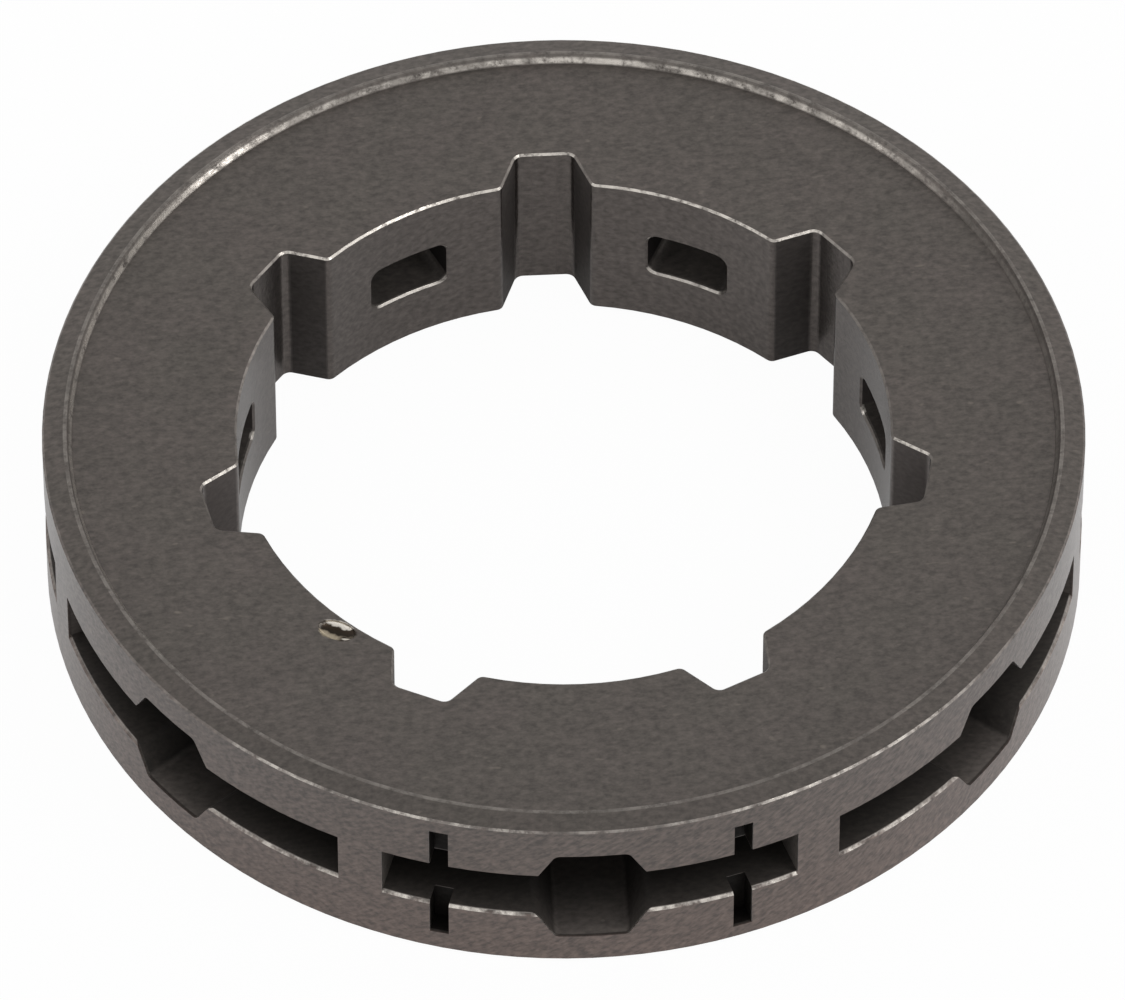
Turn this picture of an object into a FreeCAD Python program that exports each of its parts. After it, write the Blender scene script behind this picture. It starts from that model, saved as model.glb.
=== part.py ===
import FreeCAD, Part
import Sketcher
import os

# Chainsaw rim sprocket: one steel ring that floats on a splined drum and drives the chain.
# The ring's axis is Z, its lower raised band rests on z = 0, and one drive link pocket faces -Y.

NODE = "rim_sprocket"

# Driving sizes in millimetres and degrees
SIZES = (
    ("outer_diameter", "35.3", "lands that carry the side straps of the chain"),
    ("bore_diameter", "22.15", "bore between the spline notches"),
    ("rim_height", "7.06", "over the two raised bands"),
    ("face_height", "6.38", "between the two flat side faces"),
    ("band_width", "0.84", "raised band at the outer edge of each side face"),
    ("band_flat", "0.1", "level crest of the band, before it slopes to the edge"),
    ("step_run", "0.18", "sloped step from the side face up to the crest"),
    ("band_drop", "0.16", "fall of the band from its crest to the outer edge"),
    ("edge_bevel", "0.07", "bevel between the band and the outer surface"),
    ("bore_chamfer", "0.07", "edge of the bore and of its notches"),
    ("pocket_count", "7", "drive link pockets, and as many spline notches"),
    ("notch_mouth", "3.12", "width of a spline notch at the bore"),
    ("notch_floor", "1.95", "width of a spline notch at its floor"),
    ("notch_depth", "1.39", "from the bore to the floor of a notch"),
    ("notch_corner", "0.35", "radius of the floor corners of a notch"),
    ("notch_lip", "0.28", "radius of the mouth edges of a notch"),
    ("rib_width", "1.58", "rib between two neighbouring slots at the outer surface"),
    ("slot_height", "1.95", "width of the slot that takes the drive links"),
    ("slot_lip", "0.11", "bevel along the mouth of the slot"),
    ("flank_angle", "18", "lean of the slot's end walls to the middle of the pocket"),
    ("pocket_depth", "4.05", "from the outer surface to the flat floor of the pocket"),
    ("bulge_width", "3.72", "widened middle of the pocket, where it meets the slot"),
    ("bulge_height", "4.25", "widened middle of the pocket"),
    ("bulge_flat", "2.45", "level roof and floor of the widened middle"),
    ("bulge_corner", "0.28", "radius beside the level roof and floor"),
    ("flare_radius", "0.35", "rounding from the slot into the widened middle"),
    ("window_width", "2.92", "window from the pocket floor to the bore"),
    ("window_height", "1.87", "window from the pocket floor to the bore"),
    ("window_corner", "0.38", "radius of the window's corners"),
    ("window_lip", "0.07", "bevel of the window's edge at the bore"),
    ("slit_width", "0.66", "narrow slits across the front slot"),
    ("slit_height", "5.3", "length of a slit along the axis"),
    ("slit_depth", "0.75", "from the outer surface"),
    ("slit_angle", "16.7", "from the middle of the pocket to a slit"),
    ("slit_stagger", "0.13", "one slit sits this much higher, the other lower"),
    ("dent_inset", "0.545", "from the bore to the middle of the dent in the upper face"),
    ("dent_angle", "226.1", "place of the dent round the axis"),
    ("dent_turn", "109", "lean of the dent's long side to the line from the axis"),
    ("dent_length", "1.3", "long side of the dent"),
    ("dent_width", "0.8", "short side of the dent"),
    ("dent_depth", "0.22", "below the upper face"),
)

# Places that several features share, as expressions on the sheet
OUTER_RADIUS = "(Sizes.outer_diameter / 2)"
BORE_RADIUS = "(Sizes.bore_diameter / 2)"
NOTCH_RADIUS = "(Sizes.bore_diameter / 2 + Sizes.notch_depth)"
CREST_RADIUS = "(Sizes.outer_diameter / 2 - Sizes.band_width)"
POCKET_FLOOR = "(Sizes.outer_diameter / 2 - Sizes.pocket_depth)"
OUTSIDE = "(Sizes.outer_diameter / 2 + Sizes.pocket_depth)"
MIDDLE = "Sizes.rim_height / 2"
LOWER_FACE = "(Sizes.rim_height - Sizes.face_height) / 2"
UPPER_FACE = "(Sizes.rim_height + Sizes.face_height) / 2"
HALF_PITCH = "180 deg / Sizes.pocket_count"
SLOT_HALF_ANGLE = "(180 deg / Sizes.pocket_count - asin(Sizes.rib_width / Sizes.outer_diameter))"

# Two places closer than this are the same place
NEAR = 1e-4


def make_sheet(doc):
    sheet = doc.addObject("Spreadsheet::Sheet", "Sizes")
    for row, (name, value, note) in enumerate(SIZES, start=1):
        sheet.set("A%d" % row, name)
        sheet.set("B%d" % row, value)
        sheet.set("C%d" % row, note)
        sheet.setAlias("B%d" % row, name)
    doc.recompute()


def origin_item(body, role):
    for item in body.Origin.OriginFeatures:
        if item.Role == role:
            return item
    raise RuntimeError("no origin item " + role)


def measure(item, expression):
    return float(item.evalExpression(expression))


def bind(sketch, kind, members, expression, label):
    """Adds a named sketch dimension that follows an expression on the sheet."""
    dimension = Sketcher.Constraint(kind, *members, measure(sketch, expression))
    sketch.renameConstraint(sketch.addConstraint(dimension), label)
    sketch.setExpression("Constraints." + label, expression)


def outline(body, name, role, corners, lift="0", turn="0", clockwise=False):
    """Closed sketch on an origin plane through corners (x, y) or, rounded, (x, y, radius), all expressions."""
    sketch = body.newObject("Sketcher::SketchObject", name)
    sketch.AttachmentSupport = [(origin_item(body, role), "")]
    sketch.MapMode = "FlatFace"
    axis = FreeCAD.Vector(0, 0, -1 if clockwise else 1)
    start_turn = FreeCAD.Rotation(axis, measure(sketch, turn))
    sketch.AttachmentOffset = FreeCAD.Placement(FreeCAD.Vector(), start_turn)
    sketch.setExpression("AttachmentOffset.Base.z", lift)
    if turn != "0":
        sketch.setExpression("AttachmentOffset.Rotation.Angle", turn)

    points = [FreeCAD.Vector(measure(sketch, c[0]), measure(sketch, c[1]), 0) for c in corners]
    following = points[1:] + points[:1]
    lines = [sketch.addGeometry(Part.LineSegment(*ends)) for ends in zip(points, following)]
    for i, (line, corner) in enumerate(zip(lines, corners)):
        sketch.addConstraint(Sketcher.Constraint("Coincident", lines[i - 1], 2, line, 1))
        for kind, axis_line, expression in (("DistanceX", -2, corner[0]), ("DistanceY", -1, corner[1])):
            if expression == "0":
                sketch.addConstraint(Sketcher.Constraint("PointOnObject", line, 1, axis_line))
            else:
                bind(sketch, kind, (-1, 1, line, 1), expression, "corner_%d_%s" % (i, kind))
    for i, corner in enumerate(corners):
        if len(corner) == 3:
            arc = sketch.GeometryCount
            sketch.fillet(lines[i], 1, measure(sketch, corner[2]), True, True)
            bind(sketch, "Radius", (arc,), corner[2], "corner_%d_radius" % i)
    return sketch


def make_ring(body):
    """Turned blank: flat side faces, and at each outer edge a raised band that slopes to the outer surface."""
    foot = CREST_RADIUS + " - Sizes.step_run"
    slope = CREST_RADIUS + " + Sizes.band_flat"
    shoulder = OUTER_RADIUS + " - Sizes.edge_bevel"
    edge = "(Sizes.band_drop + Sizes.edge_bevel)"
    section = outline(body, "ring_section", "XZ_Plane", (
        (BORE_RADIUS, LOWER_FACE),
        (foot, LOWER_FACE),
        (CREST_RADIUS, "0"),
        (slope, "0"),
        (shoulder, "Sizes.band_drop"),
        (OUTER_RADIUS, edge),
        (OUTER_RADIUS, "Sizes.rim_height - " + edge),
        (shoulder, "Sizes.rim_height - Sizes.band_drop"),
        (slope, "Sizes.rim_height"),
        (CREST_RADIUS, "Sizes.rim_height"),
        (foot, UPPER_FACE),
        (BORE_RADIUS, UPPER_FACE),
    ))
    ring = body.newObject("PartDesign::Revolution", "ring")
    ring.Profile = section
    ring.ReferenceAxis = (section, ["V_Axis"])
    ring.Angle = 360
    return ring


def cut_prism(body, name, profile, length, side="One side", outward=False):
    pocket = body.newObject("PartDesign::Pocket", name)
    pocket.Profile = profile
    pocket.SideType = side
    pocket.Reversed = outward
    pocket.setExpression("Length", length)
    return pocket


def make_slot(body):
    """Slot round the outside that takes the drive links, with leaning end walls and a flat floor."""
    lean = "tan(Sizes.flank_angle * 1 deg)"
    mouth_half = "%s * sin(%s)" % (OUTER_RADIUS, SLOT_HALF_ANGLE)
    mouth_depth = "%s * cos(%s)" % (OUTER_RADIUS, SLOT_HALF_ANGLE)
    floor_half = "(%s - (%s - %s) * %s)" % (mouth_half, mouth_depth, POCKET_FLOOR, lean)
    outer_half = "(%s + (%s - %s) * %s)" % (mouth_half, OUTSIDE, mouth_depth, lean)
    plan = outline(body, "slot_plan", "XY_Plane", (
        ("-" + floor_half, "-" + POCKET_FLOOR),
        ("-" + outer_half, "-" + OUTSIDE),
        (outer_half, "-" + OUTSIDE),
        (floor_half, "-" + POCKET_FLOOR),
    ), lift=MIDDLE)
    return cut_prism(body, "slot", plan, "Sizes.slot_height", side="Symmetric")


def make_slot_lip(body):
    """Bevels along both long edges of the slot's mouth, turned about the axis over the slot's length."""
    half = "Sizes.slot_height / 2"
    flare = "Sizes.slot_lip + Sizes.pocket_depth"
    section = outline(body, "slot_lip_section", "YZ_Plane", (
        ("Sizes.slot_lip - " + OUTER_RADIUS, "%s - %s" % (MIDDLE, half)),
        ("Sizes.slot_lip - " + OUTER_RADIUS, "%s + %s" % (MIDDLE, half)),
        ("-" + OUTSIDE, "%s + %s + %s" % (MIDDLE, half, flare)),
        ("-" + OUTSIDE, "%s - %s - (%s)" % (MIDDLE, half, flare)),
    ))
    lip = body.newObject("PartDesign::Groove", "slot_lip")
    lip.Profile = section
    lip.ReferenceAxis = (section, ["V_Axis"])
    lip.Midplane = True
    lip.setExpression("Angle", "2 * " + SLOT_HALF_ANGLE)
    return lip


def make_bulge(body):
    """Eight-sided widening in the middle of the pocket, cut straight in to the pocket's floor."""
    flat = "Sizes.bulge_flat / 2"
    side = "Sizes.bulge_width / 2"
    inside_slot = "(Sizes.bulge_width / 2 + 2 * Sizes.flare_radius)"
    top = MIDDLE + " + Sizes.bulge_height / 2"
    bottom = MIDDLE + " - Sizes.bulge_height / 2"
    slot_top = MIDDLE + " + Sizes.slot_height / 2"
    slot_bottom = MIDDLE + " - Sizes.slot_height / 2"
    face = outline(body, "bulge_face", "XZ_Plane", (
        ("-" + flat, bottom, "Sizes.bulge_corner"),
        (flat, bottom, "Sizes.bulge_corner"),
        (side, slot_bottom, "Sizes.flare_radius"),
        (inside_slot, slot_bottom),
        (inside_slot, slot_top),
        (side, slot_top, "Sizes.flare_radius"),
        (flat, top, "Sizes.bulge_corner"),
        ("-" + flat, top, "Sizes.bulge_corner"),
        ("-" + side, slot_top, "Sizes.flare_radius"),
        ("-" + inside_slot, slot_top),
        ("-" + inside_slot, slot_bottom),
        ("-" + side, slot_bottom, "Sizes.flare_radius"),
    ), lift=POCKET_FLOOR)
    return cut_prism(body, "bulge", face, "2 * Sizes.pocket_depth", outward=True)


def make_window(body):
    """Window with rounded corners from the pocket's floor through to the bore."""
    half_width = "Sizes.window_width / 2"
    top = MIDDLE + " + Sizes.window_height / 2"
    bottom = MIDDLE + " - Sizes.window_height / 2"
    face = outline(body, "window_face", "XZ_Plane", (
        ("-" + half_width, bottom, "Sizes.window_corner"),
        (half_width, bottom, "Sizes.window_corner"),
        (half_width, top, "Sizes.window_corner"),
        ("-" + half_width, top, "Sizes.window_corner"),
    ), lift=POCKET_FLOOR)
    return cut_prism(body, "window", face, POCKET_FLOOR)


def make_notch(body):
    """Spline notch in the bore, midway between two pockets, right through the ring."""
    mouth = "Sizes.notch_mouth / 2"
    floor = "Sizes.notch_floor / 2"
    mouth_line = "sqrt(%s ^ 2 - (%s) ^ 2)" % (BORE_RADIUS, mouth)
    plan = outline(body, "notch_plan", "XY_Plane", (
        ("-" + mouth, "-" + mouth_line),
        ("-" + floor, "-" + NOTCH_RADIUS, "Sizes.notch_corner"),
        (floor, "-" + NOTCH_RADIUS, "Sizes.notch_corner"),
        (mouth, "-" + mouth_line),
        (mouth, "-%s + Sizes.notch_mouth" % BORE_RADIUS),
        ("-" + mouth, "-%s + Sizes.notch_mouth" % BORE_RADIUS),
    ), lift=MIDDLE, turn=HALF_PITCH)
    return cut_prism(body, "notch", plan, "2 * Sizes.rim_height", side="Symmetric")


def repeat_round_axis(body, features):
    pattern = body.newObject("PartDesign::PolarPattern", "round_the_ring")
    pattern.Originals = features
    pattern.Axis = (origin_item(body, "Z_Axis"), [""])
    pattern.Angle = 360
    pattern.setExpression("Occurrences", "Sizes.pocket_count")
    body.Tip = pattern
    return pattern


def make_slit(body, name, rise, clockwise):
    """Narrow radial slit along the axis, across the slot of the front pocket only."""
    half = "Sizes.slit_width / 2"
    plan = outline(body, name + "_plan", "XY_Plane", (
        ("-" + half, "Sizes.slit_depth - " + OUTER_RADIUS),
        ("-" + half, "-" + OUTSIDE),
        (half, "-" + OUTSIDE),
        (half, "Sizes.slit_depth - " + OUTER_RADIUS),
    ), lift="%s %s Sizes.slit_stagger" % (MIDDLE, rise), turn="Sizes.slit_angle", clockwise=clockwise)
    return cut_prism(body, name, plan, "Sizes.slit_height", side="Symmetric")


def dress_edges(body, kind, name, size_name, expression, chosen):
    """Rounds or bevels the edges of the body's last feature that the given test accepts."""
    base = body.Tip
    names = ["Edge%d" % (i + 1) for i, edge in enumerate(base.Shape.Edges) if chosen(edge)]
    dressed = body.newObject(kind, name)
    dressed.Base = (base, names)
    dressed.setExpression(size_name, expression)
    body.Document.recompute()
    return dressed


def reach(point):
    return (point.x ** 2 + point.y ** 2) ** 0.5


def middle_of(edge):
    return edge.valueAt((edge.FirstParameter + edge.LastParameter) / 2)


def round_notch_mouths(body):
    bore = measure(body, BORE_RADIUS)
    height = measure(body, "Sizes.face_height")

    def at_mouth(edge):
        upright = abs(edge.BoundBox.ZLength - edge.Length) < NEAR and abs(edge.Length - height) < NEAR
        return upright and abs(reach(middle_of(edge)) - bore) < NEAR

    dress_edges(body, "PartDesign::Fillet", "notch_mouths", "Radius", "Sizes.notch_lip", at_mouth)


def bevel_bore_edges(body):
    outermost = measure(body, NOTCH_RADIUS) + NEAR
    levels = [measure(body, LOWER_FACE), measure(body, UPPER_FACE)]

    def on_side_face(edge):
        box = edge.BoundBox
        level = box.ZLength < NEAR and min(abs(box.ZMin - z) for z in levels) < NEAR
        return level and reach(middle_of(edge)) < outermost

    dress_edges(body, "PartDesign::Chamfer", "bore_edges", "Size", "Sizes.bore_chamfer", on_side_face)


def bevel_window_edges(body):
    bore = measure(body, BORE_RADIUS)
    middle = measure(body, MIDDLE)
    half = measure(body, "Sizes.window_height / 2") + NEAR

    def round_window(edge):
        box = edge.BoundBox
        inside = box.ZMax < middle + half and box.ZMin > middle - half
        return inside and all(abs(reach(v.Point) - bore) < NEAR for v in edge.Vertexes)

    dress_edges(body, "PartDesign::Chamfer", "window_edges", "Size", "Sizes.window_lip", round_window)


def make_dent(body):
    """Small oval dent in the upper face beside the bore."""
    dent = body.newObject("PartDesign::SubtractiveEllipsoid", "dent")
    dent.AttachmentSupport = [(origin_item(body, "XY_Plane"), "")]
    dent.MapMode = "FlatFace"
    dent.setExpression("Radius1", "Sizes.dent_depth")
    dent.setExpression("Radius2", "Sizes.dent_length / 2")
    dent.setExpression("Radius3", "Sizes.dent_width / 2")
    distance = "(%s + Sizes.dent_inset)" % BORE_RADIUS
    dent.setExpression("AttachmentOffset.Base.x", distance + " * cos(Sizes.dent_angle * 1 deg)")
    dent.setExpression("AttachmentOffset.Base.y", distance + " * sin(Sizes.dent_angle * 1 deg)")
    dent.setExpression("AttachmentOffset.Base.z", UPPER_FACE)
    dent.setExpression("AttachmentOffset.Rotation.Angle", "Sizes.dent_angle + Sizes.dent_turn")


def check(doc, body):
    for item in doc.Objects:
        if "Invalid" in item.State or "Error" in item.State:
            raise RuntimeError(item.Name + " failed")
    solids = [f for f in body.Group if f.isDerivedFrom("PartDesign::Feature")]
    for before, after in zip(solids, solids[1:]):
        if after.Shape.Volume > before.Shape.Volume - NEAR:
            raise RuntimeError(after.Name + " cut nothing")
    if body.Shape.isNull() or not body.Shape.isValid() or len(body.Shape.Solids) != 1:
        raise RuntimeError("the ring is not one sound solid")


def main():
    doc = FreeCAD.newDocument("rim_sprocket_model")
    make_sheet(doc)
    body = doc.addObject("PartDesign::Body", NODE)
    body.Label = NODE
    make_ring(body)
    features = [make_slot(body), make_slot_lip(body), make_bulge(body), make_window(body), make_notch(body)]
    repeat_round_axis(body, features)
    make_slit(body, "left_slit", "+", clockwise=True)
    make_slit(body, "right_slit", "-", clockwise=False)
    doc.recompute()
    round_notch_mouths(body)
    bevel_bore_edges(body)
    bevel_window_edges(body)
    make_dent(body)
    doc.recompute()
    check(doc, body)
    os.makedirs("parts", exist_ok=True)
    body.Shape.exportStep("parts/%s.step" % NODE)


main()
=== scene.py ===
import math
from types import SimpleNamespace

import bpy
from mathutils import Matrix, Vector

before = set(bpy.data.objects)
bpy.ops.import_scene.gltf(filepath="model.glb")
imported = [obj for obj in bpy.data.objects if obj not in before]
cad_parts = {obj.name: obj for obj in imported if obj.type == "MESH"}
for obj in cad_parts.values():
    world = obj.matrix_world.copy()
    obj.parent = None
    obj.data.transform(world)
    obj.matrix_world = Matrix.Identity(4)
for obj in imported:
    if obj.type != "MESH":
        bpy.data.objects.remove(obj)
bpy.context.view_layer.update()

# Sizes and places on the ring in millimetres, as the solid has them
OUTER_RADIUS = 17.65
BORE_RADIUS = 11.075
RIM_HEIGHT = 7.06
FACE_HEIGHT = 6.38
CREST_RADIUS = 16.81
CREST_WIDTH = 0.13
NOTCH_RADIUS = 12.47
POCKET_RADIUS = 13.6
SLOT_HEIGHT = 1.95
SLOT_LIP = 0.11
SLIT_PLACE = 4.97
SLIT_FRONT = 16.91
SLIT_WIDTH = 0.66
SLIT_DEPTH = 0.75
EDGE_BEVEL = 0.07
DENT_RADIUS = 11.62
DENT_ANGLE = math.radians(226.1)
DENT_TURN = math.radians(109)
DENT_LENGTH = 1.3
DENT_WIDTH = 0.8

MM = 0.001
MIDDLE = Vector((0, 0, RIM_HEIGHT / 2 * MM))
UPPER_FACE = (RIM_HEIGHT + FACE_HEIGHT) / 2

# Camera: where it stands round the ring's middle, where it looks and the picture it takes
CAMERA_AZIMUTH = math.radians(-93.1)
CAMERA_ELEVATION = math.radians(49.84)
CAMERA_DISTANCE = 476.4 * MM
LOOK_BELOW = 0.315 * MM
LOOK_LEFT = 0.04 * MM
LENS_MM = 448.2
SENSOR_MM = 36.0
NEAREST_SEEN = 0.01
FARTHEST_SEEN = 10

# Light levels, where 1 shows a colour as it is written, and sizes of the studio in metres
HORIZON_LEVEL = 0.86
ZENITH_LEVEL = 0.44
ZENITH_SPREAD = 3.0
FLOOR_GLOW = 0.97
FLOOR_GLINT = 0.2
FLOOR_SIDE = 3.0
LAMP_DISTANCE = 0.6

# Settings of nodes that come up again and again
TIMES = {"operation": "MULTIPLY"}
MINUS = {"operation": "SUBTRACT"}
LARGER = {"operation": "MAXIMUM"}
SIZE_OF = {"operation": "ABSOLUTE"}
LENGTH_OF = {"operation": "LENGTH"}
NEAR = {"operation": "COMPARE"}
BELOW = {"operation": "LESS_THAN"}
ABOVE = {"operation": "GREATER_THAN"}
PLUS_SHARE = {"operation": "MULTIPLY_ADD"}
COLOURS = {"data_type": "RGBA"}
SHADED = {"data_type": "RGBA", "blend_type": "MULTIPLY"}
DRAWN_OUT = {"vector_type": "TEXTURE"}


def linear(hex_code):
    """The linear colour, with alpha, of an sRGB hex value."""
    parts = [int(hex_code[i:i + 2], 16) / 255 for i in (1, 3, 5)]
    return [c / 12.92 if c <= 0.04045 else ((c + 0.055) / 1.055) ** 2.4 for c in parts] + [1.0]


def fade(start, end, before=0.0, after=1.0):
    """Inputs for a Map Range node that leads from one value to another between two places."""
    return {"From_Min": start, "From_Max": end, "To_Min": before, "To_Max": after}


def add(tree, kind, settings=None, **links):
    """Adds a node, sets its properties and its inputs, and links inputs that are given as sockets."""
    node = tree.nodes.new(kind)
    for name, value in (settings or {}).items():
        setattr(node, name, value)
    for name, value in links.items():
        key = int(name[1:]) if name[1:].isdigit() else name.replace("_", " ")
        socket = node.inputs[key]
        if isinstance(value, bpy.types.NodeSocket):
            tree.links.new(value, socket)
        else:
            socket.default_value = value
    return node


def direction(azimuth, elevation):
    """Unit vector towards an azimuth and an elevation in radians."""
    level = math.cos(elevation)
    return Vector((level * math.cos(azimuth), level * math.sin(azimuth), math.sin(elevation)))


def aim(item, place, target):
    """Puts a camera or lamp at a place and turns it towards a target."""
    item.location = place
    item.rotation_euler = (target - place).to_track_quat("-Z", "Y").to_euler()


def make_camera():
    data = bpy.data.cameras.new("camera")
    data.sensor_width = SENSOR_MM
    data.lens = LENS_MM
    data.clip_start = NEAREST_SEEN
    data.clip_end = FARTHEST_SEEN
    camera = bpy.data.objects.new("camera", data)
    bpy.context.scene.collection.objects.link(camera)
    place = MIDDLE + CAMERA_DISTANCE * direction(CAMERA_AZIMUTH, CAMERA_ELEVATION)
    picture_up = direction(CAMERA_AZIMUTH + math.pi, math.pi / 2 - CAMERA_ELEVATION)
    picture_left = direction(CAMERA_AZIMUTH - math.pi / 2, 0)
    aim(camera, place, MIDDLE - LOOK_BELOW * picture_up + LOOK_LEFT * picture_left)
    bpy.context.scene.camera = camera


def make_softbox(name, turn, elevation, side, level):
    """Square lamp that faces the ring, its turn counted from the camera, in degrees and metres."""
    data = bpy.data.lights.new(name, "AREA")
    data.shape = "SQUARE"
    data.size = side
    data.energy = level * math.pi * side ** 2
    lamp = bpy.data.objects.new(name, data)
    bpy.context.scene.collection.objects.link(lamp)
    heading = direction(CAMERA_AZIMUTH + math.radians(turn), math.radians(elevation))
    aim(lamp, MIDDLE + LAMP_DISTANCE * heading, MIDDLE)


def make_world():
    """White studio walls, a little darker overhead than at the horizon."""
    world = bpy.data.worlds.new("white_studio")
    world.use_nodes = True
    bpy.context.scene.world = world
    tree = world.node_tree
    tree.nodes.clear()
    heading = add(tree, "ShaderNodeTexCoord").outputs["Generated"]
    height = add(tree, "ShaderNodeSeparateXYZ", _0=heading).outputs["Z"]
    curve = {"operation": "POWER", "use_clamp": True}
    height = add(tree, "ShaderNodeMath", curve, _0=height, _1=ZENITH_SPREAD).outputs[0]
    level = add(tree, "ShaderNodeMapRange", Value=height, To_Min=HORIZON_LEVEL, To_Max=ZENITH_LEVEL)
    walls = add(tree, "ShaderNodeBackground", Color=linear("#ffffff"), Strength=level.outputs[0])
    add(tree, "ShaderNodeOutputWorld", Surface=walls.outputs[0])


def make_floor(material):
    bpy.ops.mesh.primitive_plane_add(size=FLOOR_SIDE)
    floor = bpy.context.object
    floor.name = "floor"
    floor.data.materials.append(material)


def white_paper():
    """Matt white paper: white to the camera, a faint gleam in the metal, a soft shadow below the ring."""
    material = bpy.data.materials.new("matt_white_paper")
    material.use_nodes = True
    tree = material.node_tree
    tree.nodes.clear()
    path = add(tree, "ShaderNodeLightPath")
    seen = add(tree, "ShaderNodeMath", LARGER, _0=path.outputs["Is Camera Ray"],
               _1=path.outputs["Is Transmission Ray"]).outputs[0]
    seen = add(tree, "ShaderNodeMath", TIMES, _0=seen, _1=FLOOR_GLOW).outputs[0]
    glint = add(tree, "ShaderNodeMath", TIMES, _0=path.outputs["Is Glossy Ray"], _1=FLOOR_GLINT).outputs[0]
    share = add(tree, "ShaderNodeMath", LARGER, _0=seen, _1=glint).outputs[0]
    paper = add(tree, "ShaderNodeBsdfDiffuse", Color=linear("#f4f4f4"))
    glow = add(tree, "ShaderNodeEmission", Color=linear("#ffffff"), Strength=1.0)
    both = add(tree, "ShaderNodeMixShader", _0=share, _1=paper.outputs[0], _2=glow.outputs[0])
    add(tree, "ShaderNodeOutputMaterial", Surface=both.outputs[0])
    return material


# Sizes of the steel's patterns in millimetres, drawn a little coarser than they are so that they show
GRAIN_LENGTH = 0.27
GRAIN_WIDTH = 0.17
GRAIN_RELIEF = 0.02
GRIND_TURN = math.radians(3.1)
CLOUD_WIDTH = 2.5
SPECK_LENGTH = 0.4
SPECK_WIDTH = 0.2
SPECK_SHIFT = (5, 5, 5)
MARK_LENGTH = 0.4
MARK_WIDTH = 0.14
TURNING_SLANT = math.radians(35)
RUB_LENGTH = 0.45
WEAR_LENGTH = 0.8
DENT_RAGGED = 0.3

# Parts of the surface by radius and by height from the ring's middle, in millimetres
OUTSIDE = fade(OUTER_RADIUS - 0.08, OUTER_RADIUS - 0.03)
BEHIND_LIPS = fade(OUTER_RADIUS - SLOT_LIP + 0.02, OUTER_RADIUS - SLOT_LIP - 0.02)
BEYOND_WINDOWS = fade(POCKET_RADIUS - 0.2, POCKET_RADIUS)
WINDOW_TUNNELS = fade(BORE_RADIUS + 0.1, BORE_RADIUS + 0.15)
BORE_AND_NOTCHES = fade(NOTCH_RADIUS + 0.1, NOTCH_RADIUS)
BETWEEN_FACES = fade(FACE_HEIGHT / 2 - 0.2, FACE_HEIGHT / 2 - 0.25)
SLIT_REACH = 0.7 * SLIT_WIDTH
SLIT_BACK = SLIT_DEPTH + 0.1 - SLIT_FRONT
SLIT_START = SLOT_HEIGHT / 2 + 0.03

# Parts of the surface by how much they face up or down, or away from the ring's axis
UPRIGHT = fade(0.3, 0.2)
NOTCH_SIDES = fade(0.7, 0.3)

# Levels that a pattern's noise mostly lies between, its contrast, and the grain's share among the marks
NOISE_LEVELS = (0.25, 0.75)
GRAIN_RANGE = fade(*NOISE_LEVELS)
MARK_RANGE = fade(*NOISE_LEVELS, before=0.02, after=0.98)
GRAIN_AMONG_MARKS = 0.5
SPECK_RANGE = fade(0.8, 0.97)

# Where painted light and shade change the skin's colour: painted floor light fading up the outside, and
# painted shade deepening from front to back on the notch sides
FLOOR_LIGHT_UP_THE_OUTSIDE = fade(0, RIM_HEIGHT)
NOTCH_SHADE_TOWARDS_BACK = fade(2.0, 6.0)

# Painted shade in the pockets, as shares of the skin's colour
WIDENED_PART = fade(SLOT_HEIGHT / 2 + 0.1, SLOT_HEIGHT / 2 + 0.3)
SLOT_FLOOR_TO_WALL = fade(0, 1, before=0.42, after=0.75)
WIDENING_WALL_TO_FLOOR = fade(0.6, 0.95, before=0.45, after=1.1)
SLIT_TONE = 0.12
TUNNEL_TONE = 0.55
POCKET_SHADE_REACH = fade(OUTER_RADIUS - 3.0, OUTER_RADIUS)
POCKET_SHADE_CURVE = 3.0
POCKET_SHADE = fade(0, 1, before=0.3, after=1.5)

# Where edges are worn bright and carry painted highlights, in millimetres, and how much a bevel slopes
SLOPED = fade(0.25, 0.4)
NOT_FLAT = fade(0.93, 0.88)
BY_BORE = fade(BORE_RADIUS + 0.16, BORE_RADIUS + 0.12)
BY_FACES = fade(FACE_HEIGHT / 2 - 0.16, FACE_HEIGHT / 2 - 0.1)
BY_OUTER_EDGE = fade(OUTER_RADIUS - EDGE_BEVEL - 0.03, OUTER_RADIUS - EDGE_BEVEL - 0.01)
BY_BAND = fade(POCKET_RADIUS, CREST_RADIUS - 0.3)

# How bright the edges are, worn steel with painted highlights: bevels by the way they face, the band's step
# by height, and less at both sides, where the painted highlights fade
FRONT_HIGHLIGHT = fade(-0.43, -0.5, before=0.12)
STEP_FOOT = fade(FACE_HEIGHT / 2 + 0.01, FACE_HEIGHT / 2 + 0.07, after=0.78)
STEP_TOP = (RIM_HEIGHT / 2 - 0.15, RIM_HEIGHT / 2 - 0.08)
STEP_TOP_WEAR_AND_GLINT = 0.1
CREST_WEAR_AND_GLINT = 0.18
RIGHT_SIDE = fade(13.5, 10.5, before=0.2)
RIGHT_OUTER_EDGE = fade(17.0, 14.5, before=0.2)
LEFT_SIDE = fade(-13.0, -10.0, before=0.15)
FROM_FRONT_MIDDLE = fade(1.5, 6.0, before=0.4)

# How patchy the worn and painted-bright edges are, as levels of their noises
FLECKS = fade(0.33, 0.54)
BEVEL_WEAR = fade(0.43, 0.57, before=0.85)
STEP_WEAR = fade(0.4, 0.57, before=0.5)
LIP_WEAR = fade(0.4, 0.56)
OUTER_EDGE_WEAR = fade(0.43, 0.6, before=0.25)
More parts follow.
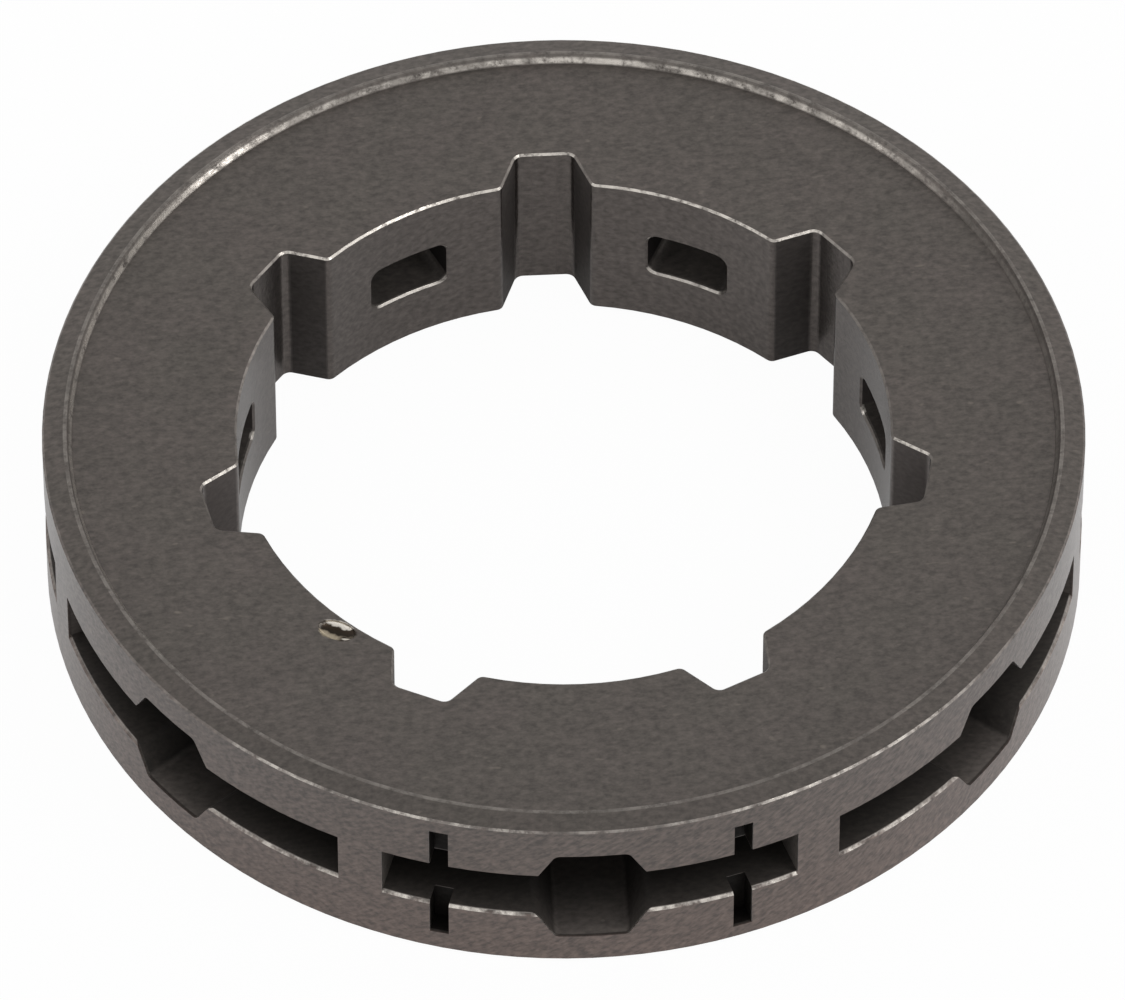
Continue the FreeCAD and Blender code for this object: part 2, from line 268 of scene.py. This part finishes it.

# Dent: its reach in millimetres, and places in it where 1 is its own rim; its colours are chips in the skin
# with painted shade and a painted highlight
DENT_REACH = 0.4
RIM_RAGGEDNESS = 0.5
HOLLOW_RAGGEDNESS = 0.7
DENT_RIM = fade(1.35, 1.2)
NEAR_TO_FAR = fade(-0.65, 1.35)
DENT_RIGHT_HALF = fade(0.1, 0.4)
DENT_NEAR_SIDE = fade(0.5, 0.42)
DENT_COLOURS = ((0.05, "#8d8270"), (0.2, "#c9bda6"), (0.42, "#a09481"), (0.5, "#2b241c"), (0.8, "#3d3228"),
                (0.87, "#efe8de"))
SCRATCH_PLACE = (0.62, -0.35, 0)
SCRATCH_SIZE = (0.32, 0.16, 1)
SCRATCH_RIM = fade(1.1, 0.7)

# Metal and roughness of the skin, and of the places where it is thinner, thicker, or worn off on edges that
# also carry painted highlights
FACE_METAL = 0.75
POCKET_METAL = 0.35
BORE_METAL = 0.95
NOTCH_SIDE_METAL = 0.0
OUTSIDE_METAL = 0.5
WORN_AND_HIGHLIT_METAL = fade(0, 1, before=1.0, after=0.2)
SKIN_ROUGHNESS = fade(*NOISE_LEVELS, before=0.46, after=0.38)
BORE_ROUGHNESS = 0.27
NOTCH_SIDE_ROUGHNESS = 0.85
WORN_AND_HIGHLIT_ROUGHNESS = 0.18
GLOSSY_TO_MATT = fade(0, 1, before=0.5, after=0.05)
OUTSIDE_SHEEN = fade(0, 1, after=0.65)
SHEEN_ROUGHNESS = 0.3
RELIEF_STRENGTH = 0.3


def surface_places(tree):
    """Where a point of the ring lies, in millimetres, and which way its surface faces."""
    place = add(tree, "ShaderNodeTexCoord").outputs["Object"]
    place = add(tree, "ShaderNodeVectorMath", {"operation": "SCALE"}, _0=place, Scale=1 / MM).outputs[0]
    x, y, z = add(tree, "ShaderNodeSeparateXYZ", _0=place).outputs
    level = add(tree, "ShaderNodeCombineXYZ", X=x, Y=y).outputs[0]
    radius = add(tree, "ShaderNodeVectorMath", LENGTH_OF, _0=level).outputs["Value"]
    height = add(tree, "ShaderNodeMath", MINUS, _0=z, _1=RIM_HEIGHT / 2).outputs[0]
    height = add(tree, "ShaderNodeMath", SIZE_OF, _0=height).outputs[0]
    from_middle = add(tree, "ShaderNodeMath", SIZE_OF, _0=x).outputs[0]
    angle = add(tree, "ShaderNodeMath", {"operation": "ARCTAN2"}, _0=y, _1=x).outputs[0]
    arc = add(tree, "ShaderNodeMath", TIMES, _0=angle, _1=OUTER_RADIUS).outputs[0]
    unrolled = add(tree, "ShaderNodeCombineXYZ", X=arc, Y=z, Z=radius).outputs[0]
    normal = add(tree, "ShaderNodeNewGeometry").outputs["True Normal"]
    outward = add(tree, "ShaderNodeVectorMath", {"operation": "NORMALIZE"}, _0=level).outputs[0]
    radial = add(tree, "ShaderNodeVectorMath", {"operation": "DOT_PRODUCT"}, _0=normal, _1=outward)
    radial = add(tree, "ShaderNodeMath", SIZE_OF, _0=radial.outputs["Value"]).outputs[0]
    turn = add(tree, "ShaderNodeSeparateXYZ", _0=normal)
    facing = add(tree, "ShaderNodeMath", SIZE_OF, _0=turn.outputs["Z"]).outputs[0]
    return SimpleNamespace(place=place, x=x, y=y, z=z, radius=radius, height=height, from_middle=from_middle,
                           unrolled=unrolled, radial=radial, facing=facing, backward=turn.outputs["Y"])


def surface_parts(tree, at):
    """Shares up to 1 of the turned outside, the walls of bore and notches, the pockets and the slits."""
    outside = add(tree, "ShaderNodeMapRange", Value=at.radius, **OUTSIDE).outputs[0]
    upright = add(tree, "ShaderNodeMapRange", Value=at.facing, **UPRIGHT).outputs[0]
    bore = add(tree, "ShaderNodeMapRange", Value=at.radius, **BORE_AND_NOTCHES).outputs[0]
    bore = add(tree, "ShaderNodeMath", TIMES, _0=bore, _1=upright).outputs[0]
    flank = add(tree, "ShaderNodeMapRange", Value=at.radial, **NOTCH_SIDES).outputs[0]
    beyond = add(tree, "ShaderNodeMapRange", Value=at.radius, **BEYOND_WINDOWS).outputs[0]
    within = add(tree, "ShaderNodeMapRange", Value=at.radius, **BEHIND_LIPS).outputs[0]
    between = add(tree, "ShaderNodeMapRange", Value=at.height, **BETWEEN_FACES).outputs[0]
    tunnel = add(tree, "ShaderNodeMapRange", Value=at.radius, **WINDOW_TUNNELS).outputs[0]
    tunnel = add(tree, "ShaderNodeMath", MINUS, _0=tunnel, _1=upright).outputs[0]
    pocket = add(tree, "ShaderNodeMath", LARGER, _0=beyond, _1=tunnel).outputs[0]
    pocket = add(tree, "ShaderNodeMath", TIMES, _0=pocket, _1=within).outputs[0]
    pocket = add(tree, "ShaderNodeMath", TIMES, _0=pocket, _1=between).outputs[0]
    slit = add(tree, "ShaderNodeMath", NEAR, _0=at.from_middle, _1=SLIT_PLACE, _2=SLIT_REACH).outputs[0]
    front = add(tree, "ShaderNodeMath", BELOW, _0=at.y, _1=SLIT_BACK).outputs[0]
    slit = add(tree, "ShaderNodeMath", TIMES, _0=slit, _1=front).outputs[0]
    beside = add(tree, "ShaderNodeMath", ABOVE, _0=at.height, _1=SLIT_START).outputs[0]
    slit = add(tree, "ShaderNodeMath", TIMES, _0=slit, _1=beside).outputs[0]
    return SimpleNamespace(outside=outside, upright=upright, bore=bore, flank=flank, beyond=beyond,
                           between=between, pocket=pocket, slit=slit)


def grain_and_marks(tree, at, part):
    """Pressed grain, drawn out sideways by grinding, and slanting marks of the turning tool outside."""
    ground = add(tree, "ShaderNodeMapping", DRAWN_OUT, Vector=at.place, Rotation=(0, 0, GRIND_TURN),
                 Scale=(GRAIN_LENGTH, GRAIN_WIDTH, GRAIN_WIDTH)).outputs[0]
    grain = add(tree, "ShaderNodeTexNoise", Vector=ground, Scale=1.0, Detail=2.0, Roughness=0.6).outputs[0]
    slanted = add(tree, "ShaderNodeMapping", DRAWN_OUT, Vector=at.unrolled, Rotation=(0, 0, TURNING_SLANT),
                  Scale=(MARK_LENGTH, MARK_WIDTH, MARK_LENGTH)).outputs[0]
    marks = add(tree, "ShaderNodeTexNoise", Vector=slanted, Scale=1.0, Detail=2.0, Roughness=0.6).outputs[0]
    marks = add(tree, "ShaderNodeMix", Factor=GRAIN_AMONG_MARKS, A=marks, B=grain).outputs[0]
    marks = add(tree, "ShaderNodeMapRange", Value=marks, **MARK_RANGE).outputs[0]
    return add(tree, "ShaderNodeMix", Factor=part.outside, A=grain, B=marks).outputs[0]


def skin_colour(tree, at, part, texture):
    """Warm grey of the skin, browner and paler down the outside in painted floor light, and blacker on the
    notch sides in painted shade, most at the back.
    """
    skin = add(tree, "ShaderNodeMapRange", Value=texture, **GRAIN_RANGE).outputs[0]

    # Faces, with clouds and a few light grains
    clouds = add(tree, "ShaderNodeTexNoise", Vector=at.place, Scale=1 / CLOUD_WIDTH, Detail=2.0).outputs[0]
    dark = add(tree, "ShaderNodeMix", COLOURS, Factor=clouds, _6=linear("#534f4b"), _7=linear("#585350"))
    pale = add(tree, "ShaderNodeMix", COLOURS, Factor=clouds, _6=linear("#6e6963"), _7=linear("#756c68"))
    colour = add(tree, "ShaderNodeMix", COLOURS, Factor=skin, _6=dark.outputs[2], _7=pale.outputs[2])
    sown = add(tree, "ShaderNodeMapping", DRAWN_OUT, Vector=at.place, Rotation=(0, 0, GRIND_TURN),
               Location=SPECK_SHIFT, Scale=(SPECK_LENGTH, SPECK_WIDTH, SPECK_WIDTH)).outputs[0]
    specks = add(tree, "ShaderNodeTexNoise", Vector=sown, Scale=1.0, Detail=0.0).outputs[0]
    specks = add(tree, "ShaderNodeMapRange", Value=specks, **SPECK_RANGE).outputs[0]
    colour = add(tree, "ShaderNodeMix", COLOURS, Factor=specks, _6=colour.outputs[2], _7=linear("#827a72"))

    # Turned outside, browner and paler low down in painted light from the floor
    floor_light_fade = add(tree, "ShaderNodeMapRange", Value=at.z, **FLOOR_LIGHT_UP_THE_OUTSIDE).outputs[0]
    dark = add(tree, "ShaderNodeMix", COLOURS, Factor=floor_light_fade, _6=linear("#59504c"), _7=linear("#504b48"))
    pale = add(tree, "ShaderNodeMix", COLOURS, Factor=floor_light_fade, _6=linear("#7c6d66"), _7=linear("#6e645f"))
    turned = add(tree, "ShaderNodeMix", COLOURS, Factor=skin, _6=dark.outputs[2], _7=pale.outputs[2])
    colour = add(tree, "ShaderNodeMix", COLOURS, Factor=part.outside, _6=colour.outputs[2],
                 _7=turned.outputs[2])

    # Walls of the bore, and sides of the notches in painted shade that deepens towards the back
    sized = add(tree, "ShaderNodeMix", COLOURS, Factor=skin, _6=linear("#57524f"), _7=linear("#756e6a"))
    behind = add(tree, "ShaderNodeMapRange", Value=at.y, **NOTCH_SHADE_TOWARDS_BACK).outputs[0]
    notch_side_shade = add(tree, "ShaderNodeMix", COLOURS, Factor=behind, _6=linear("#504a48"), _7=linear("#211e1d"))
    sized = add(tree, "ShaderNodeMix", COLOURS, Factor=part.flank, _6=sized.outputs[2],
                _7=notch_side_shade.outputs[2])
    colour = add(tree, "ShaderNodeMix", COLOURS, Factor=part.bore, _6=colour.outputs[2],
                 _7=sized.outputs[2])
    return colour.outputs[2]


def pocket_shade(tree, at, part, colour):
    """Colour of the pockets in painted shade: blacker the deeper they go and in the slot, and nearly black
    in the slits.
    """
    widened = add(tree, "ShaderNodeMapRange", Value=at.height, **WIDENED_PART).outputs[0]
    in_slot = add(tree, "ShaderNodeMapRange", Value=part.upright, **SLOT_FLOOR_TO_WALL).outputs[0]
    in_widening = add(tree, "ShaderNodeMapRange", Value=at.facing, **WIDENING_WALL_TO_FLOOR).outputs[0]
    tone = add(tree, "ShaderNodeMix", Factor=widened, A=in_slot, B=in_widening).outputs[0]
    tone = add(tree, "ShaderNodeMix", Factor=part.slit, A=tone, B=SLIT_TONE).outputs[0]
    depth = add(tree, "ShaderNodeMapRange", Value=at.radius, **POCKET_SHADE_REACH).outputs[0]
    depth = add(tree, "ShaderNodeMath", {"operation": "POWER"}, _0=depth, _1=POCKET_SHADE_CURVE).outputs[0]
    depth = add(tree, "ShaderNodeMapRange", Value=depth, **POCKET_SHADE).outputs[0]
    tone = add(tree, "ShaderNodeMath", TIMES, _0=depth, _1=tone).outputs[0]
    tone = add(tree, "ShaderNodeMix", Factor=part.beyond, A=TUNNEL_TONE, B=tone).outputs[0]
    tone = add(tree, "ShaderNodeCombineColor", Red=tone, Green=tone, Blue=tone).outputs[0]
    return add(tree, "ShaderNodeMix", SHADED, Factor=part.pocket, _6=colour, _7=tone).outputs[2]


def worn_and_highlit_edges(tree, at, part):
    """How bright the edges are, partly worn through to steel and partly painted highlight, and where that is
    at the bore's windows, each as a share up to 1.
    """
    # Bevels of bore, notches, windows, slots and outer edge
    by_bore = add(tree, "ShaderNodeMapRange", Value=at.radius, **BY_BORE).outputs[0]
    by_faces = add(tree, "ShaderNodeMapRange", Value=at.height, **BY_FACES).outputs[0]
    by_outer_edge = add(tree, "ShaderNodeMapRange", Value=at.radius, **BY_OUTER_EDGE).outputs[0]
    by_edge = add(tree, "ShaderNodeMath", LARGER, _0=by_bore, _1=by_outer_edge).outputs[0]
    by_edge = add(tree, "ShaderNodeMath", LARGER, _0=by_faces, _1=by_edge).outputs[0]
    window = add(tree, "ShaderNodeMath", TIMES, _0=by_bore, _1=part.between).outputs[0]
    sloped = add(tree, "ShaderNodeMapRange", Value=at.facing, **SLOPED).outputs[0]
    not_flat = add(tree, "ShaderNodeMapRange", Value=at.facing, **NOT_FLAT).outputs[0]
    not_flat = add(tree, "ShaderNodeMath", LARGER, _0=not_flat, _1=window).outputs[0]
    bevel = add(tree, "ShaderNodeMath", TIMES, _0=sloped, _1=not_flat).outputs[0]
    bevel = add(tree, "ShaderNodeMath", TIMES, _0=bevel, _1=by_edge).outputs[0]

    # Painted highlights: bevels that face the front are brightest, and the band's step is painted bright
    # above its foot and less on the right
    banded = add(tree, "ShaderNodeMapRange", Value=at.radius, **BY_BAND).outputs[0]
    banded = add(tree, "ShaderNodeMath", TIMES, _0=by_faces, _1=banded).outputs[0]
    step = add(tree, "ShaderNodeMapRange", Value=at.height, **STEP_FOOT).outputs[0]
    to_top = fade(*STEP_TOP, before=step, after=STEP_TOP_WEAR_AND_GLINT)
    step = add(tree, "ShaderNodeMapRange", Value=at.height, **to_top).outputs[0]
    right_side = add(tree, "ShaderNodeMapRange", Value=at.x, **RIGHT_SIDE).outputs[0]
    step = add(tree, "ShaderNodeMath", TIMES, _0=step, _1=right_side).outputs[0]
    front_highlight = add(tree, "ShaderNodeMapRange", Value=at.backward, **FRONT_HIGHLIGHT).outputs[0]
    front_highlight = add(tree, "ShaderNodeMix", Factor=by_outer_edge, A=front_highlight, B=1.0).outputs[0]
    amount = add(tree, "ShaderNodeMix", Factor=banded, A=front_highlight, B=step).outputs[0]
    bevel = add(tree, "ShaderNodeMath", TIMES, _0=bevel, _1=amount).outputs[0]

    # Crest of the band, a thin faint line of wear and painted highlight
    crest = add(tree, "ShaderNodeMath", NEAR, _0=at.radius, _1=CREST_RADIUS + CREST_WIDTH / 2,
                _2=CREST_WIDTH / 2).outputs[0]
    crest = add(tree, "ShaderNodeMath", TIMES, _0=crest, _1=by_faces).outputs[0]
    crest = add(tree, "ShaderNodeMath", TIMES, _0=crest, _1=CREST_WEAR_AND_GLINT).outputs[0]
    edge = add(tree, "ShaderNodeMath", LARGER, _0=bevel, _1=crest).outputs[0]

    # Flecks, and wear that comes and goes: steady at bore and step, broken at the outer edge and lips, with
    # the outer edge's painted highlight weaker at the front middle and edge and lips fading at both sides
    flecks = add(tree, "ShaderNodeTexNoise", Vector=at.place, Scale=1 / RUB_LENGTH, Detail=4.0,
                 Roughness=0.8).outputs[0]
    flecks = add(tree, "ShaderNodeMapRange", Value=flecks, **FLECKS).outputs[0]
    worn_and_highlit = add(tree, "ShaderNodeMath", TIMES, _0=edge, _1=flecks).outputs[0]
    wear_and_glint_patches = add(tree, "ShaderNodeTexNoise", Vector=at.place, Scale=1 / WEAR_LENGTH, Detail=3.0,
               Roughness=0.6).outputs[0]
    bevel_wear = add(tree, "ShaderNodeMapRange", Value=wear_and_glint_patches, **BEVEL_WEAR).outputs[0]
    step_wear = add(tree, "ShaderNodeMapRange", Value=wear_and_glint_patches, **STEP_WEAR).outputs[0]
    lip_wear = add(tree, "ShaderNodeMapRange", Value=wear_and_glint_patches, **LIP_WEAR).outputs[0]
    outer_wear_and_glint = add(tree, "ShaderNodeMapRange", Value=wear_and_glint_patches, **OUTER_EDGE_WEAR).outputs[0]
    apart = add(tree, "ShaderNodeMapRange", Value=at.from_middle, **FROM_FRONT_MIDDLE).outputs[0]
    outer_wear_and_glint = add(tree, "ShaderNodeMath", TIMES, _0=outer_wear_and_glint, _1=apart).outputs[0]
    outer_wear_and_glint = add(tree, "ShaderNodeMix", Factor=part.between, A=outer_wear_and_glint, B=lip_wear).outputs[0]
    left_side = add(tree, "ShaderNodeMapRange", Value=at.x, **LEFT_SIDE).outputs[0]
    right_edge = add(tree, "ShaderNodeMapRange", Value=at.x, **RIGHT_OUTER_EDGE).outputs[0]
    right_side = add(tree, "ShaderNodeMix", Factor=part.between, A=right_edge, B=right_side).outputs[0]
    outer_wear_and_glint = add(tree, "ShaderNodeMath", TIMES, _0=outer_wear_and_glint, _1=left_side).outputs[0]
    outer_wear_and_glint = add(tree, "ShaderNodeMath", TIMES, _0=outer_wear_and_glint, _1=right_side).outputs[0]
    inner_wear = add(tree, "ShaderNodeMix", Factor=banded, A=bevel_wear, B=step_wear).outputs[0]
    wear_and_glint_patches = add(tree, "ShaderNodeMix", Factor=by_outer_edge, A=inner_wear, B=outer_wear_and_glint).outputs[0]
    worn_and_highlit = add(tree, "ShaderNodeMath", TIMES, _0=worn_and_highlit, _1=wear_and_glint_patches).outputs[0]
    return worn_and_highlit, window


def dent_colour(tree, at, colour):
    """Dent with chips in the skin: a painted highlight on the far rim, painted shade in the hollow, and a
    bare patch at the near left.
    """
    middle = (DENT_RADIUS * math.cos(DENT_ANGLE), DENT_RADIUS * math.sin(DENT_ANGLE), UPPER_FACE)
    local = add(tree, "ShaderNodeMapping", DRAWN_OUT, Vector=at.place, Location=middle,
                Rotation=(0, 0, DENT_ANGLE + DENT_TURN),
                Scale=(DENT_LENGTH / 2, DENT_WIDTH / 2, DENT_REACH)).outputs[0]
    ragged = add(tree, "ShaderNodeTexNoise", Vector=at.place, Scale=1 / DENT_RAGGED, Detail=2.0).outputs[0]
    dent_patch = add(tree, "ShaderNodeVectorMath", LENGTH_OF, _0=local).outputs["Value"]
    dent_patch = add(tree, "ShaderNodeMath", PLUS_SHARE, _0=ragged, _1=RIM_RAGGEDNESS, _2=dent_patch).outputs[0]
    dent_patch = add(tree, "ShaderNodeMapRange", Value=dent_patch, **DENT_RIM).outputs[0]

    # Colours from the near side to the far rim, with painted shade in the hollow and on the right of the
    # near side, and a painted highlight on the far rim
    along = add(tree, "ShaderNodeSeparateXYZ", _0=local)
    across = add(tree, "ShaderNodeMath", PLUS_SHARE, _0=ragged, _1=HOLLOW_RAGGEDNESS, _2=along.outputs["Y"])
    across = add(tree, "ShaderNodeMapRange", Value=across.outputs[0], **NEAR_TO_FAR).outputs[0]
    hollow = add(tree, "ShaderNodeValToRGB", Fac=across)
    stops = hollow.color_ramp.elements
    for position, shade in DENT_COLOURS:
        stops.new(position).color = linear(shade)
    stops.remove(stops[-1])
    stops.remove(stops[0])
    right_half = add(tree, "ShaderNodeMapRange", Value=along.outputs["X"], **DENT_RIGHT_HALF).outputs[0]
    near_side = add(tree, "ShaderNodeMapRange", Value=across, **DENT_NEAR_SIDE).outputs[0]
    shade = add(tree, "ShaderNodeMath", TIMES, _0=right_half, _1=near_side).outputs[0]
    bare = add(tree, "ShaderNodeMix", COLOURS, Factor=shade, _6=hollow.outputs["Color"],
               _7=linear("#3a322a"))

    # Short bright scratch at the near right
    scratch = add(tree, "ShaderNodeMapping", DRAWN_OUT, Vector=local, Location=SCRATCH_PLACE,
                  Scale=SCRATCH_SIZE).outputs[0]
    scratch = add(tree, "ShaderNodeVectorMath", LENGTH_OF, _0=scratch).outputs["Value"]
    scratch = add(tree, "ShaderNodeMapRange", Value=scratch, **SCRATCH_RIM).outputs[0]
    bare = add(tree, "ShaderNodeMix", COLOURS, Factor=scratch, _6=bare.outputs[2], _7=linear("#efe8de"))
    # Inside the dent, chips in the skin with painted shade and a painted highlight replace the skin's colour
    return add(tree, "ShaderNodeMix", COLOURS, Factor=dent_patch, _6=colour, _7=bare.outputs[2]).outputs[2]


def sintered_steel():
    """Sintered steel, pressed, ground and blackened in steam: a warm grey skin, dull sheen and fine grain.

    Tumbling has worn the edges through to bare bright steel, with highlights painted over them; turning has
    left slanting marks outside; the colour also carries painted shade and painted floor light.
    """
    material = bpy.data.materials.new("steam_blackened_sintered_steel")
    material.use_nodes = True
    tree = material.node_tree
    tree.nodes.clear()
    at = surface_places(tree)
    part = surface_parts(tree, at)
    texture = grain_and_marks(tree, at, part)
    worn_and_highlit, window = worn_and_highlit_edges(tree, at, part)
    colour = skin_colour(tree, at, part, texture)
    colour = pocket_shade(tree, at, part, colour)
    # Edges worn to bright steel, with painted highlights on them
    colour = add(tree, "ShaderNodeMix", COLOURS, Factor=worn_and_highlit, _6=colour, _7=linear("#ebe4db")).outputs[2]
    colour = dent_colour(tree, at, colour)

    # Metal shows most on the walls of the bore and on the worn, painted-bright edges, and not on the sides
    # of the notches
    notch_side = add(tree, "ShaderNodeMath", TIMES, _0=part.bore, _1=part.flank).outputs[0]
    metallic = add(tree, "ShaderNodeMix", Factor=part.pocket, A=FACE_METAL, B=POCKET_METAL).outputs[0]
    metallic = add(tree, "ShaderNodeMix", Factor=part.bore, A=metallic, B=BORE_METAL).outputs[0]
    metallic = add(tree, "ShaderNodeMix", Factor=notch_side, A=metallic, B=NOTCH_SIDE_METAL).outputs[0]
    metallic = add(tree, "ShaderNodeMix", Factor=part.outside, A=metallic, B=OUTSIDE_METAL).outputs[0]
    edge_metal = add(tree, "ShaderNodeMapRange", Value=window, **WORN_AND_HIGHLIT_METAL).outputs[0]
    metallic = add(tree, "ShaderNodeMix", Factor=worn_and_highlit, A=metallic, B=edge_metal).outputs[0]

    # Smoother on the walls of the bore, smoothest on the worn, painted-bright edges, and dull on the sides
    # of the notches
    roughness = add(tree, "ShaderNodeMapRange", Value=texture, **SKIN_ROUGHNESS).outputs[0]
    roughness = add(tree, "ShaderNodeMix", Factor=part.bore, A=roughness, B=BORE_ROUGHNESS).outputs[0]
    roughness = add(tree, "ShaderNodeMix", Factor=notch_side, A=roughness, B=NOTCH_SIDE_ROUGHNESS).outputs[0]
    roughness = add(tree, "ShaderNodeMix", Factor=worn_and_highlit, A=roughness, B=WORN_AND_HIGHLIT_ROUGHNESS).outputs[0]

    # Matt on the sides of the notches and in slits and windows, and a pale sheen along the outside
    slit = add(tree, "ShaderNodeMath", TIMES, _0=part.slit, _1=part.pocket).outputs[0]
    matt = add(tree, "ShaderNodeMath", LARGER, _0=notch_side, _1=slit).outputs[0]
    clamped = {"operation": "SUBTRACT", "use_clamp": True}
    tunnel = add(tree, "ShaderNodeMath", clamped, _0=part.pocket, _1=part.beyond).outputs[0]
    matt = add(tree, "ShaderNodeMath", LARGER, _0=matt, _1=tunnel).outputs[0]
    gloss = add(tree, "ShaderNodeMapRange", Value=matt, **GLOSSY_TO_MATT).outputs[0]
    sheen = add(tree, "ShaderNodeMapRange", Value=part.outside, **OUTSIDE_SHEEN).outputs[0]

    relief = add(tree, "ShaderNodeBump", Height=texture, Strength=RELIEF_STRENGTH,
                 Distance=GRAIN_RELIEF * MM).outputs[0]
    metal = add(tree, "ShaderNodeBsdfPrincipled", Base_Color=colour, Metallic=metallic, Roughness=roughness,
                Specular_IOR_Level=gloss, Sheen_Weight=sheen, Sheen_Roughness=SHEEN_ROUGHNESS, Normal=relief)
    add(tree, "ShaderNodeOutputMaterial", Surface=metal.outputs[0])
    return material


bpy.context.scene.view_settings.view_transform = "Standard"
make_camera()
make_world()
make_floor(white_paper())
make_softbox("softbox_right", turn=60, elevation=48, side=0.2, level=4.7)
make_softbox("softbox_behind_right", turn=112, elevation=20, side=0.3, level=1.0)
make_softbox("softbox_low_right", turn=72, elevation=8, side=0.15, level=4.2)
make_softbox("softbox_low_left", turn=-72, elevation=8, side=0.15, level=3.0)

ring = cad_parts["rim_sprocket"]
ring.data.materials.clear()
ring.data.materials.append(sintered_steel())
